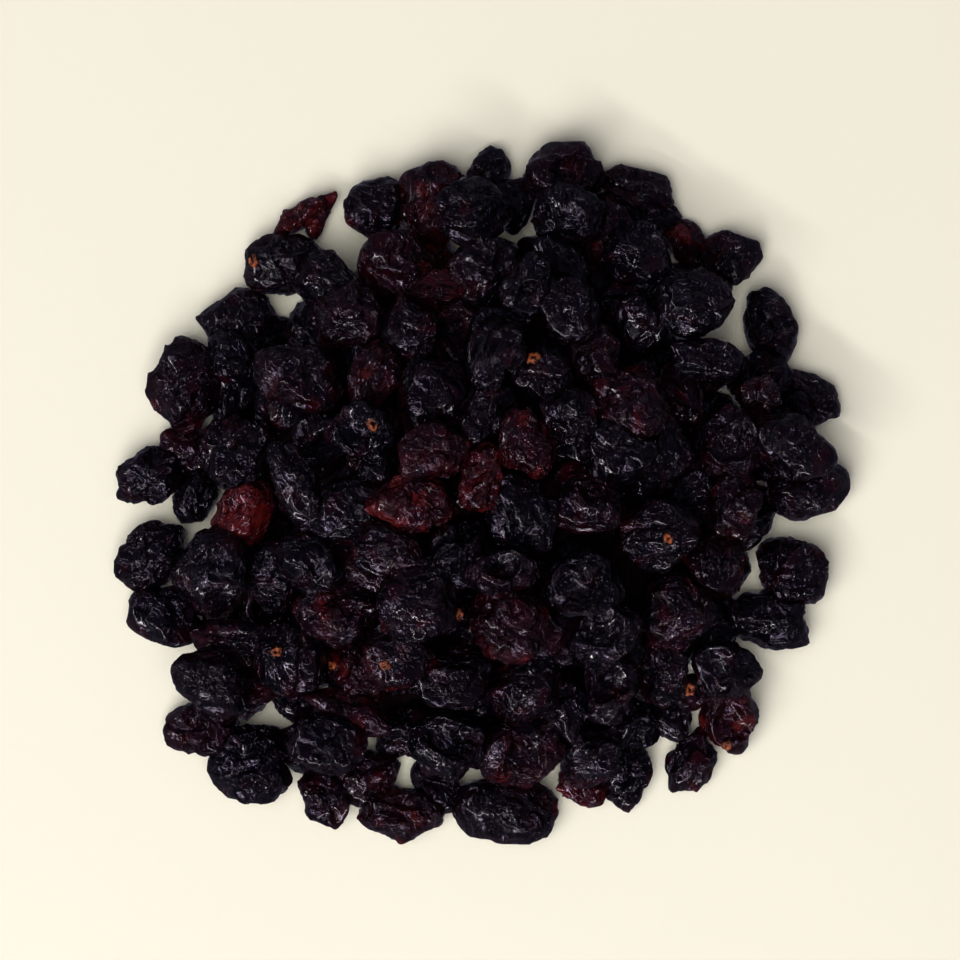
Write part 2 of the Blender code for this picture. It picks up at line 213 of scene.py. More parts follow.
@dataclass
class Berry:
    """A berry's number, place, size and tilt, and how it looks."""

    number: int
    x: float = 0.0
    y: float = 0.0
    z: float = 0.0
    length: float = 0.0
    width: float = 0.0
    thickness: float = 0.0
    turn: float = 0.0
    lean: float = 0.0
    lean_way: float = 0.0
    form: Form | None = None
    redness: float = 0.0
    showing: float = 0.0

    def put_at(self, place: Place, thickness_share: float) -> None:
        """Gives the berry the place's position, size and looks, all but its height."""
        self.x, self.y = place.x * MM, place.y * MM
        self.length, self.width = place.length * MM, place.width * MM
        self.thickness = self.width * thickness_share
        self.turn = math.radians(place.turn)
        self.form, self.redness = place.form, place.redness

    def axes(self) -> Values:
        """The turn and lean, a matrix whose columns are the directions of the berry's axes."""
        lean_axis = Vector((math.cos(self.lean_way), math.sin(self.lean_way), 0))
        lean = Matrix.Rotation(self.lean, 3, lean_axis)
        return np.array(lean @ Matrix.Rotation(self.turn, 3, "Z"))

    def half_sizes(self) -> Values:
        """Half the length, width and thickness."""
        return np.array((self.length, self.width, self.thickness)) / 2

    def half_height(self) -> float:
        """How far the berry reaches above its middle as it leans."""
        return float(np.linalg.norm(self.half_sizes() * self.axes()[2]))

    def reach(self, way: Values) -> Values:
        """How far the berry reaches from its middle in level directions, given as angles."""
        turned = np.asarray(way) - self.turn
        return np.hypot(self.length / 2 * np.cos(turned), self.width / 2 * np.sin(turned))


def unit(vectors: Points) -> Points:
    """A vector, or each row of vectors, with a length of one."""
    if vectors.ndim == 1:
        return vectors / np.linalg.norm(vectors)
    return vectors / np.linalg.norm(vectors, axis=1, keepdims=True)


def level_distance(points: Points, x: float, y: float) -> Values:
    """How far each point is from a place in the frame's millimetres, seen from above."""
    return np.hypot(points[:, 0] - x * MM, points[:, 1] - y * MM)


def sphere_points(count: int) -> Points:
    """Directions spread evenly over a sphere, on a spiral."""
    number = np.arange(count) + 0.5
    rise = 1 - 2 * number / count
    turn = number * math.pi * (3 - math.sqrt(5))
    level = np.sqrt(1 - rise**2)
    return np.stack((level * np.cos(turn), level * np.sin(turn), rise), axis=1)


@cache
def ball(level: int) -> tuple[Points, np.ndarray]:
    """Directions at the corners of a ball of triangles, finer at each level, and its faces."""
    shape = bmesh.new()
    bmesh.ops.create_icosphere(shape, subdivisions=level, radius=1)
    ways = np.array([corner.co.normalized() for corner in shape.verts])
    faces = np.array([[corner.index for corner in face.verts] for face in shape.faces])
    shape.free()
    return ways, faces


@dataclass(frozen=True)
class Laying:
    """How the heap's berries come to lie, from the table up. Sizes are in metres."""

    mound_radius: float = 52 * MM
    mound_edge: float = 6.2 * MM
    mound_rise: float = 15.8 * MM
    mound_roundness: float = 1.9
    filled_radius: float = 51 * MM
    berry_length: float = 13.0 * MM
    berry_spread: float = 1.3 * MM
    shortest: float = 10.0 * MM
    longest: float = 15.5 * MM
    width_share: Range = (0.76, 0.95)
    thickness_share: Range = (0.70, 0.86)
    most_lean: float = math.radians(32)
    rim_lean_share: float = 0.2
    top_lean_share: float = 0.5
    flat_spot: float = 0.45 * MM
    nesting: float = 0.82
    touching: float = 0.84
    covering: float = 0.54
    pit_margin: float = 0.72
    pit_depth: float = 6.5 * MM
    bed_depth: float = 2.5 * MM
    lowest_layer: float = 4.8 * MM
    unevenness: float = 2.2 * MM
    drop_spacing: float = 2.0 * MM
    most_misses: int = 30
    core_radius: float = 44 * MM
    core_height: float = 15.5 * MM
    core_grip: float = 2.5 * MM
    sight_lines: int = 48
    sight_blocking: float = 0.9
    seed: int = 31
    middle: Pair = (0.7751 * MM, 0.3178 * MM)

    def mound_height(self, x: Values, y: Values) -> Values:
        """Height of the middle of a berry that lies on the mound's surface at x, y."""
        out = np.minimum(np.hypot(x, y) / self.mound_radius, 1.0)
        return self.mound_edge + self.mound_rise * (1 - out**self.mound_roundness)

    def random_berry(self, draw: random.Random, number: int) -> Berry:
        """A berry of chance size and tilt, not yet laid."""
        length = draw.gauss(self.berry_length, self.berry_spread)
        length = min(max(length, self.shortest), self.longest)
        width = length * draw.uniform(*self.width_share)
        thickness = width * draw.uniform(*self.thickness_share)
        turn = draw.uniform(0, math.pi)
        lean = self.most_lean * draw.random()
        lean_way = draw.uniform(0, math.tau)
        return Berry(number, 0, 0, 0, length, width, thickness, turn, lean, lean_way)

    def placed_berries(
        self, places: tuple[Place, ...], lean_share: float, draw: random.Random
    ) -> list[Berry]:
        """Berries at these places, with a share of a dropped berry's lean and no height yet."""
        berries = []
        for place in places:
            berry = self.random_berry(draw, len(berries))
            berry.put_at(place, draw.uniform(*self.thickness_share))
            berry.lean *= lean_share
            berries.append(berry)
        return berries

    @staticmethod
    def distances(x: Values, y: Values, berry: Berry, other: Berry) -> tuple[Values, Values]:
        """How far x, y is from the other berry, and how far away the berry would touch it."""
        away = np.hypot(x - other.x, y - other.y)
        way = np.arctan2(y - other.y, x - other.x)
        return away, berry.reach(way) + other.reach(way)

    def resting_height(self, berry: Berry, x: Values, y: Values, heap: list[Berry]) -> Values:
        """Height of the berry's middle once it is dropped onto the heap at x, y."""
        height = np.full(np.shape(x), berry.half_height() - self.flat_spot)
        for other in heap:
            away, touching = self.distances(x, y, berry, other)
            over = np.maximum(1 - (away / (self.nesting * touching)) ** 2, 0)
            rise = self.nesting * (berry.half_height() + other.half_height()) * np.sqrt(over)
            height = np.where(over > 0, np.maximum(height, other.z + rise), height)
        return height

    def clear_of(
        self, x: Values, y: Values, berry: Berry, others: list[Berry], share: float
    ) -> Values:
        """Where x, y keeps the berry this share of their touching distance from the others."""
        clear = np.ones(np.shape(x), bool)
        for other in others:
            away, touching = self.distances(x, y, berry, other)
            clear &= away > share * touching
        return clear

    def drop_berries(
        self,
        heap: list[Berry],
        depth: float,
        pits: list[Berry],
        kept_clear: list[Berry],
        bare_spots: list[Berry],
        draw: random.Random,
    ) -> None:
        """Drops berries into the deepest hollow until none lies deeper under the mound's surface.

        Args:
            heap: the berries that lie already, to which the new ones are added.
            depth: how far below the mound's surface the heap stays.
            pits: berries to come, under which a hollow stays free.
            kept_clear: berries that the new ones mustn't cover.
            bare_spots: spots of the table that stay free.
            draw: the heap's chance numbers.
        """
        steps = np.arange(-self.filled_radius, self.filled_radius, self.drop_spacing)
        x, y = (side.ravel() for side in np.meshgrid(steps, steps))
        inside = np.hypot(x, y) < self.filled_radius
        x, y = x[inside], y[inside]
        rough = np.array([draw.uniform(-self.unevenness, self.unevenness) for _ in x])
        surface = self.mound_height(x, y) + rough
        misses = 0
        while misses < self.most_misses:
            berry = self.random_berry(draw, len(heap))
            rest = self.resting_height(berry, x, y, heap)
            in_pit = ~self.clear_of(x, y, berry, pits, self.pit_margin)
            below = np.where(in_pit, self.pit_depth, depth)
            room = np.maximum(surface - below, self.lowest_layer) - rest
            room[~self.clear_of(x, y, berry, kept_clear, self.covering)] = -1
            room[~self.clear_of(x, y, berry, bare_spots, 1)] = -1
            best = int(np.argmax(room))
            if room[best] < 0:
                misses += 1
                continue
            berry.x, berry.y, berry.z = float(x[best]), float(y[best]), float(rest[best])
            heap.append(berry)

    def reaches_core(self, berry: Berry) -> bool:
        """Whether the berry's near side or its underside lies well inside the heap's core."""
        away = math.hypot(berry.x, berry.y)
        near_side = away - berry.reach(math.atan2(berry.y, berry.x)) + self.core_grip
        underside = berry.z - berry.half_height() + self.core_grip
        side_share = max(near_side, 0) / self.core_radius
        under_share = max(underside, 0) / self.core_height
        beside = math.hypot(side_share, berry.z / self.core_height)
        above = math.hypot(away / self.core_radius, under_share)
        return min(beside, above) < 1

    def slide_to(self, berry: Berry, other: Berry) -> tuple[float, float]:
        """How far the berry slides to touch the other, and which way."""
        way = math.atan2(other.y - berry.y, other.x - berry.x)
        heights = other.half_height() + berry.half_height()
        level = self.touching**2 - ((other.z - berry.z) / heights) ** 2
        if level <= 0:
            return math.inf, way
        touching = (other.reach(way) + berry.reach(way)) * math.sqrt(level)
        return float(math.hypot(other.x - berry.x, other.y - berry.y) - touching), way

    def gather(self, heap: list[Berry]) -> None:
        """Slides each berry that lies apart, the nearest first, against one that doesn't."""
        apart = [berry for berry in heap if not self.reaches_core(berry)]
        held = [berry for berry in heap if self.reaches_core(berry)]
        slides = [min(self.slide_to(berry, other) for other in held) for berry in apart]
        while apart:
            nearest = slides.index(min(slides))
            berry = apart.pop(nearest)
            distance, way = slides.pop(nearest)
            if distance > 0:
                berry.x += distance * math.cos(way)
                berry.y += distance * math.sin(way)
            near = [self.slide_to(other, berry) for other in apart]
            slides = [min(pair) for pair in zip(slides, near)]

    def share_showing(self, berry: Berry, heap: list[Berry]) -> float:
        """The share of the sight lines from the berry's skin, level or upwards, that leave."""
        ways = sphere_points(2 * self.sight_lines)[: self.sight_lines]
        starts = np.array((berry.x, berry.y, berry.z)) + ways * berry.half_sizes().mean()
        free = np.ones(self.sight_lines, bool)
        for other in heap:
            if other is berry:
                continue
            towards = np.array((other.x, other.y, other.z)) - starts
            along = np.einsum("ij,ij->i", towards, ways)
            aside = np.einsum("ij,ij->i", towards, towards) - along**2
            blocked = (self.sight_blocking * other.half_sizes().mean()) ** 2
            free &= (along < 0) | (aside > blocked)
        return float(free.mean())

    def tuck(self, heap: list[Berry]) -> None:
        """Adds the small berries that fill gaps."""
        for place in TUCKED:
            berry = Berry(len(heap), showing=1.0)
            berry.put_at(place, self.thickness_share[0])
            berry.z = berry.half_height() - self.flat_spot + place.lift * MM
            heap.append(berry)

    def lay(self) -> list[Berry]:
        """All the heap's berries, moved so that the heap's outline is centred."""
        draw = random.Random(self.seed)
        rim = self.placed_berries(RIM, self.rim_lean_share, draw)
        on_top = self.placed_berries(ON_TOP, self.top_lean_share, draw)
        bare_spots = self.placed_berries(BARE_SPOTS, 0, draw)
        for berry in rim:
            berry.z = float(self.resting_height(berry, berry.x, berry.y, []))
        heap = list(rim)
        self.drop_berries(heap, self.bed_depth, on_top, rim, bare_spots, draw)
        for berry in on_top:
            berry.z = float(self.resting_height(berry, berry.x, berry.y, heap))
            heap.append(berry)
        self.drop_berries(heap, 0, [], rim + on_top, bare_spots, draw)
        self.gather(heap)
        for place, berry in zip(ON_TOP, on_top):
            berry.z += place.lift * MM
        for number, berry in enumerate(heap):
            berry.number = number
            berry.showing = self.share_showing(berry, heap)
        self.tuck(heap)
        for berry in heap:
            berry.x -= self.middle[0]
            berry.y -= self.middle[1]
        return heap


@dataclass(frozen=True)
class Waves:
    """A smooth pattern of one grain size, the sum of plane waves in chance directions."""

    grain: float
    stretch: float = 1.0
    count: int = 26

    def at(self, points: Points, chance: Chance) -> Values:
        """The pattern's value at each point, about -2 to 2, by the berry's chance numbers."""
        ways = unit(chance.normal(size=(self.count, 3)))
        ways[:, 0] /= self.stretch
        phases = chance.uniform(0, math.tau, self.count)
        steps = points @ ways.T * (math.tau / self.grain) + phases
        return np.cos(steps).sum(axis=1) * math.sqrt(2 / self.count)

    def shifts(self, points: Points, chance: Chance) -> Points:
        """Three patterns of this kind, as a shift for each point."""
        return np.stack([self.at(points, chance) for _ in range(3)], axis=1)


def smooth_step(values: Values, low: float, high: float) -> Values:
    """0 below low and 1 above high, with a smooth rise between."""
    share = np.clip((values - low) / (high - low), 0, 1)
    return share * share * (3 - 2 * share)


def sharp_ridge(values: Values, width: float, bluntness: float = 0.12) -> Values:
    """1 where the values cross zero, in a narrow ridge that falls off to either side."""
    return np.exp((bluntness - np.sqrt(values**2 + bluntness**2)) / width)


@dataclass(frozen=True)
class Shrivel:
    """How deep a berry's skin has folded, ridged and crinkled. Depths are in metres."""

    folds: int
    fold_depth: float
    ridge_height: float
    ridge_grain: float
    crinkle_height: float
    crinkle_grain: float
    crinkled_share: float
    hollow: float = 0.0
    point: float = 0.0
    tear: float = 0.0


SHRIVELS = {
    PLUMP: Shrivel(3, 0.5 * MM, 0.20 * MM, 5.0 * MM, 0.08 * MM, 1.7 * MM, 0.35),
    CRINKLED: Shrivel(3, 0.6 * MM, 0.30 * MM, 3.8 * MM, 0.18 * MM, 1.6 * MM, 0.85),
    FOLDED: Shrivel(6, 1.3 * MM, 0.24 * MM, 4.2 * MM, 0.12 * MM, 1.7 * MM, 0.6),
    CUPPED: Shrivel(3, 0.6 * MM, 0.24 * MM, 4.2 * MM, 0.13 * MM, 1.6 * MM, 0.6, hollow=2.4 * MM),
    POINTED: Shrivel(3, 0.7 * MM, 0.26 * MM, 4.0 * MM, 0.14 * MM, 1.6 * MM, 0.7, point=0.15),
    TORN: Shrivel(5, 1.4 * MM, 0.26 * MM, 4.2 * MM, 0.14 * MM, 1.6 * MM, 0.6, tear=1.3 * MM),
}


@dataclass(frozen=True)
class Blush:
    """A spot where the skin is thin and shows red, in the frame's millimetres; one of them also
    paints light on a berry's lit side.
    """

    x: float
    y: float
    reach: float
    redness: float


BLUSHES = (
    Blush(-7.0, 33.6, 4.5, 0.40),
    # Red skin on the lower left of the red berry on top, and painted light on that side, which
    # faces the lamps.
    Blush(-40.4, -6.2, 4.0, 0.55),
    Blush(-8.0, 46.5, 5.5, 0.30),
    Blush(-21.0, 43.4, 3.2, 0.45),
    Blush(41.0, -7.2, 3.5, 0.29),
    Blush(15.4, -51.0, 5.0, 0.32),
    Blush(42.0, -36.4, 6.0, 0.22),
    Blush(-12.0, -53.0, 6.0, 0.22),
    Blush(-49.5, -38.6, 5.0, 0.25),
    Blush(24.4, 15.0, 5.0, 0.22),
    Blush(46.0, 16.0, 4.5, 0.22),
    Blush(-46.0, -24.0, 3.5, 0.32),
    Blush(-25.8, -18.4, 4.5, 0.29),
    Blush(-18.4, -29.4, 4.0, 0.25),
    Blush(36.2, 41.0, 4.5, 0.22),
    Blush(-56.4, 16.4, 4.0, 0.18),
    Blush(-12.4, -37.0, 4.5, 0.22),
    Blush(6.4, -47.6, 4.0, 0.22),
    Blush(-33.2, 0.6, 4.0, 0.14),
)


@dataclass
class Sculpted:
    """A berry's finished skin: its points and what the finish reads at each of them."""

    points: Points
    faces: np.ndarray
    upper: Points
    redness: Values
    ridge: Values
    crinkle: Values
    grain_place: Points


@dataclass(frozen=True)
class Folds:
    """The grooves that run along a berry. Ranges are shares of their width and depth."""

    width: float = 0.6 * MM
    width_range: Range = (0.7, 1.4)
    depth_range: Range = (0.5, 1.0)
    wander: float = 0.30
    wander_grain: float = 9 * MM
    scatter: float = 0.3
    off_middle: float = 0.35
    span: Range = (0.55, 1.1)
    end_sharpness: int = 4

    def height(self, skin: Points, half: Values, shrivel: Shrivel, chance: Chance) -> Values:
        """How far the folds sink the skin.

        Args:
            skin: points of the skin.
            half: the berry's half sizes.
            shrivel: how many folds there are, and how deep they are.
            chance: the berry's chance numbers.

        Returns:
            A negative height for each point.
        """
        girth = np.hypot(skin[:, 1], skin[:, 2])
        angle = np.arctan2(skin[:, 2] / half[2], skin[:, 1] / half[1])
        angle = angle + self.wander * Waves(self.wander_grain).at(skin, chance)
        along = skin[:, 0] / half[0]
        depth = np.zeros(len(skin))
        start = chance.uniform(0, math.tau)
        for number in range(shrivel.folds):
            place = number + chance.uniform(-self.scatter, self.scatter)
            centre = start + math.tau * place / shrivel.folds
            off = (angle - centre + math.pi) % math.tau - math.pi
            middle = chance.uniform(-self.off_middle, self.off_middle)
            window = (along - middle) / chance.uniform(*self.span)
            window = np.exp(-(window**self.end_sharpness))
            groove = np.abs(off) * girth / (self.width * chance.uniform(*self.width_range))
            deepest = shrivel.fold_depth * chance.uniform(*self.depth_range)
            depth -= deepest * np.exp(-groove) * window
        return depth


@dataclass(frozen=True)
class Dents:
    """The shallow dents that cover a berry. Ranges are shares of their depth and radius."""

    count: int = 17
    depth: float = 0.80 * MM
    depth_range: Range = (0.5, 1.15)
    radius: float = 2.7 * MM
    radius_range: Range = (0.75, 1.3)
    long: float = 1.7
    wide: float = 0.75
    scatter: float = 0.25
    bend: float = 0.35 * MM
    bend_grain: float = 3.5 * MM
    crest_width: float = 0.12 * MM
    crest_depth: Range = (0.05 * MM, 0.20 * MM)

    def height(self, skin: Points, chance: Chance) -> tuple[Values, Values]:
        """How far the dents sink the skin.

        Args:
            skin: points of the skin.
            chance: the berry's chance numbers.

        Returns:
            A negative height for each point, and 1 on the crests where dents meet.
        """
        ways = unit(skin)
        bent = skin + self.bend * Waves(self.bend_grain).shifts(skin, chance)
        deepest = np.zeros(len(skin))
        next_deepest = np.zeros(len(skin))
        for way in sphere_points(self.count):
            way = unit(way + chance.normal(scale=self.scatter, size=3))
            centre = skin[np.argmax(ways @ way)]
            course = unit(np.cross(centre, chance.normal(size=3)))
            away = bent - centre
            along = away @ course
            across = np.sqrt(np.maximum((away**2).sum(axis=1) - along**2, 0))
            radius = self.radius * chance.uniform(*self.radius_range)
            share = (along / (self.long * radius)) ** 2 + (across / (self.wide * radius)) ** 2
            depth = self.depth * chance.uniform(*self.depth_range) * np.maximum(1 - share, 0)
            next_deepest = np.maximum(next_deepest, np.minimum(deepest, depth))
            deepest = np.maximum(deepest, depth)
        crest = np.exp(-(deepest - next_deepest) / self.crest_width)
        return -deepest, crest * smooth_step(deepest, *self.crest_depth)


@dataclass(frozen=True)
class Hollow:
    """The hollow pressed into the upper side of a cupped berry, and its broken rim."""

    angle: float = 0.88
    off_top: float = 0.32
    wander: float = 0.22
    wander_grain: float = 8 * MM
    rim_at: float = 1.05
    rim_width: float = 0.16
    rim_height: float = 0.40 * MM
    rim_grain: float = 9 * MM
    rim_breaks: Range = (-0.9, 0.9)

    def press(
        self, skin: Points, up: Values, depth: float, chance: Chance
    ) -> tuple[Points, Values]:
        """The skin with the hollow in its side that faces up, and where the rim runs."""
        centre = unit(up + chance.uniform(-self.off_top, self.off_top, 3))
        wide = self.angle * (1 + self.wander * Waves(self.wander_grain).at(skin, chance))
        share = np.arccos(np.clip(unit(skin) @ centre, -1, 1)) / wide
        rim = np.exp(-(((share - self.rim_at) / self.rim_width) ** 2))
        rim *= smooth_step(Waves(self.rim_grain).at(skin, chance), *self.rim_breaks)
        push = depth * np.maximum(1 - share**2, 0) - self.rim_height * rim
        return skin - centre * push[:, None], rim


@dataclass(frozen=True)
class Tips:
    """The ragged tips drawn out of a torn berry, mostly level with it."""

    count: int = 4
    spread: tuple[float, float, float] = (1, 1, 0.35)
    length_range: Range = (0.3, 1.0)
    width: float = 0.012

    def draw_out(self, skin: Points, length: float, chance: Chance) -> tuple[Points, Values]:
        """The skin with its tips, and how far each point is drawn."""
        ways = unit(skin)
        drawn = np.zeros(len(skin))
        for _ in range(self.count):
            tip = unit(chance.normal(size=3) * self.spread)
            drawn += chance.uniform(*self.length_range) * np.exp((ways @ tip - 1) / self.width)
        return skin + ways * (length * drawn)[:, None], np.clip(drawn, 0, 1)


@dataclass(frozen=True)
class Thinness:
    """Where a berry's skin is thin, and how red it shows there, with a painted red glow on its
    sides.
    """

    spots: float = 0.30
    spot_grain: float = 5.5 * MM
    spot_edge: Range = (0.75, 1.7)
    edges: float = 0.25
    ridges: float = 0.10
    plain_ridge: float = 0.4
    # Strength of the painted red glow on the sides.
    flank_glow: float = 0.30
    flank_edge: Range = (0.35, 0.95)
    flank_grain: float = 4.5 * MM
    flank_breaks: Range = (-0.6, 1.2)

    def on_spots(self, skin: Points, chance: Chance) -> Values:
        """The redness of the berry's own spots."""
        return self.spots * smooth_step(Waves(self.spot_grain).at(skin, chance), *self.spot_edge)

    def painted_flank_glow(self, skin: Points, rise: Values, chance: Chance) -> Values:
        """Painted light: the red glow of light through the thin skin on the berry's sides, where
        the skin faces neither up nor down.
        """
        flank = smooth_step(1 - np.abs(rise), *self.flank_edge)
        thin = smooth_step(Waves(self.flank_grain).at(skin, chance), *self.flank_breaks)
        return self.flank_glow * flank * thin

    @staticmethod
    def on_blushes(placed: Points) -> Iterator[Values]:
        """The redness of each blush that the photo shows, at points in the frame."""
        for blush in BLUSHES:
            away = level_distance(placed, blush.x, blush.y)
            yield blush.redness * np.exp(-((away / (blush.reach * MM)) ** 2))


@dataclass(frozen=True)
class Sculptor:
    """Makes a berry's skin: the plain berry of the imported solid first, and then its detail."""

    panels: int = 11
    panel_scatter: float = 0.35
    panel_depth: Range = (0.80, 0.97)
    panel_dent: Range = (0.02, 0.13)
    dent_width: float = 0.10
    corner_sharpness: int = 14
    seed: int = 700
    fine: int = 5
    coarse: int = 4
    coarse_showing: float = 0.13
    upward_crowding: float = 0.6
    swell: float = 1.05
    margin: float = 0.05 * MM
    warp: float = 0.55 * MM
    warp_grain: float = 6 * MM
    patch_grain: float = 7 * MM
    patch_gain: float = 2.2
    patch_edge: Range = (-0.5, 0.6)
    smooth_crinkle: float = 0.25
    ridge_stretch: float = 1.5
    ridge_width: float = 0.24
    crinkle_stretch: float = 1.3
    crinkle_width: float = 0.34
    point_sharpness: int = 5
    point_narrowing: float = 0.35
    tip_sharpness: int = 8
    tip_edge: float = 2.0
    rim_edge: float = 0.6
    gloss_sharpness: int = 4
    folds: Folds = Folds()
    dents: Dents = Dents()
    hollow: Hollow = Hollow()
    tips: Tips = Tips()
    thinness: Thinness = Thinness()

    def deflated(self, berry: Berry, ways: Points) -> Points:
        """Points of the berry's plain skin along unit directions in its own axes."""
        draw = random.Random(berry.number)
        half = berry.half_sizes()
        shrunk = np.linalg.norm(ways / half, axis=1) ** self.corner_sharpness
        dent = np.zeros(len(ways))
        scatter = self.panel_scatter
        for way in sphere_points(self.panels):
            panel = unit(way + np.array([draw.uniform(-scatter, scatter) for _ in range(3)]))
            distance = np.linalg.norm(half * panel) * draw.uniform(*self.panel_depth)
            facing = ways @ panel
            shrunk += (np.maximum(facing, 0) / distance) ** self.corner_sharpness
            dent += draw.uniform(*self.panel_dent) * np.exp((facing - 1) / self.dent_width)
        skin = ways * (shrunk ** (-1 / self.corner_sharpness) * (1 - dent))[:, None]
        return self.sized(skin, half)

    @staticmethod
    def sized(skin: Points, half: Values) -> Points:
        """The skin moved and scaled so that it has the stated half sizes."""
        low, high = skin.min(axis=0), skin.max(axis=0)
        return (skin - (low + high) / 2) * half * 2 / (high - low)

    def directions(self, berry: Berry) -> tuple[Points, np.ndarray]:
        """Directions in the berry's axes, closer together on its upper side, and the faces."""
        ways, faces = ball(self.fine if berry.showing > self.coarse_showing else self.coarse)
        return unit(ways + self.upward_crowding * berry.axes()[2]), faces

    def pointed(self, skin: Points, half: Values, point: float) -> tuple[Points, Values]:
        """The skin with its two ends drawn to points, and how far each point is at a tip."""
        ends = np.abs(skin[:, 0] / half[0])
        skin[:, 0] *= 1 + point * ends**self.point_sharpness
        skin[:, 1:] *= 1 - self.point_narrowing * point * (ends**2)[:, None]
        return skin, ends**self.tip_sharpness * point * self.tip_edge

    def placed(self, skin: Points, berry: Berry) -> Points:
        """The skin in its place in the heap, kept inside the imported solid's box."""
        placed = skin @ berry.axes().T * self.swell + np.array((berry.x, berry.y, berry.z))
        low, high = (np.array(corner) for corner in CAD_BOX)
        inset = self.margin * np.array((1, 1, 0))
        return np.clip(placed, low + inset, high - inset)

    def sculpt(self, berry: Berry) -> Sculpted:
        """Makes a berry's detailed skin.

        Args:
            berry: the berry, laid and with its form chosen.

        Returns:
            The skin in place, in the heap's own axes.
        """
        shrivel = SHRIVELS[berry.form]
        chance = np.random.default_rng(self.seed + berry.number)
        half, axes = berry.half_sizes(), berry.axes()
        ways, faces = self.directions(berry)
        skin = self.deflated(berry, ways)
        warped = skin + self.warp * Waves(self.warp_grain).shifts(skin, chance)
        redness = berry.redness + self.thinness.on_spots(skin, chance)
        shift = self.patch_gain * (shrivel.crinkled_share - 0.5)
        patch = smooth_step(Waves(self.patch_grain).at(skin, chance) + shift, *self.patch_edge)
        ridge = Waves(shrivel.ridge_grain, self.ridge_stretch).at(warped, chance)
        ridge = sharp_ridge(ridge, self.ridge_width)
        crinkle = Waves(shrivel.crinkle_grain, self.crinkle_stretch).at(warped, chance)
        crinkle = sharp_ridge(crinkle, self.crinkle_width)
        crinkle *= self.smooth_crinkle + (1 - self.smooth_crinkle) * patch
        folds = self.folds.height(skin, half, shrivel, chance)
        dents, crest = self.dents.height(skin, chance)
        height = shrivel.ridge_height * ridge + shrivel.crinkle_height * crinkle + folds + dents
        skin = skin + unit(skin) * (height - height.mean())[:, None]
        skin, edge = self.pointed(skin, half, shrivel.point)
        if shrivel.hollow:
            skin, rim = self.hollow.press(skin, axes[2], shrivel.hollow, chance)
            edge = edge + self.rim_edge * rim
        if shrivel.tear:
            skin, drawn = self.tips.draw_out(skin, shrivel.tear, chance)
            edge = edge + drawn
        skin = self.sized(skin, half)
        placed, upper = self.placed(skin, berry), ways @ axes.T
        redness = redness + self.thinness.edges * np.clip(edge, 0, 1)
        redness = redness + self.thinness.ridges * (ridge - self.thinness.plain_ridge)
        # Painted light: a red glow through the thin skin on the berries' sides.
        flank_glow = self.thinness.painted_flank_glow(skin, upper[:, 2], chance)
        redness = redness + flank_glow * (1 - berry.redness)
        for blush in self.thinness.on_blushes(placed):
            redness = redness + blush * (1 - berry.redness)
        glossy = np.maximum(crest, ridge**self.gloss_sharpness)
        grain_place = skin + chance.uniform(-0.5, 0.5, 3)
        return Sculpted(placed, faces, upper, redness, glossy, patch, grain_place)


def operator(operation: str, swapped: bool = False) -> Callable[["Term", "Term | float"], "Term"]:
    """A method that adds a Math node for a Python operator, with its two values swapped or not."""

    def method(self: "Term", other: "Term | float") -> "Term":
        """This and the other through the Math node."""
        values = (other, self) if swapped else (self, other)
        return self.bench.add("ShaderNodeMath", {"operation": operation}, dict(enumerate(values)))

    return method


class Term:
    """A shader socket that takes part in sums as Python writes them."""

    def __init__(self, bench: "NodeBench", socket: bpy.types.NodeSocket) -> None:
        """Holds the socket and the bench that its sums are made on."""
        self.bench = bench
        self.socket = socket

    __add__, __radd__ = operator("ADD"), operator("ADD", swapped=True)
    __sub__, __rsub__ = operator("SUBTRACT"), operator("SUBTRACT", swapped=True)
    __mul__, __rmul__ = operator("MULTIPLY"), operator("MULTIPLY", swapped=True)
    __pow__ = operator("POWER")

    def of(self, output: str) -> "Term":
        """Another output of the same node."""
        return Term(self.bench, self.socket.node.outputs[output])


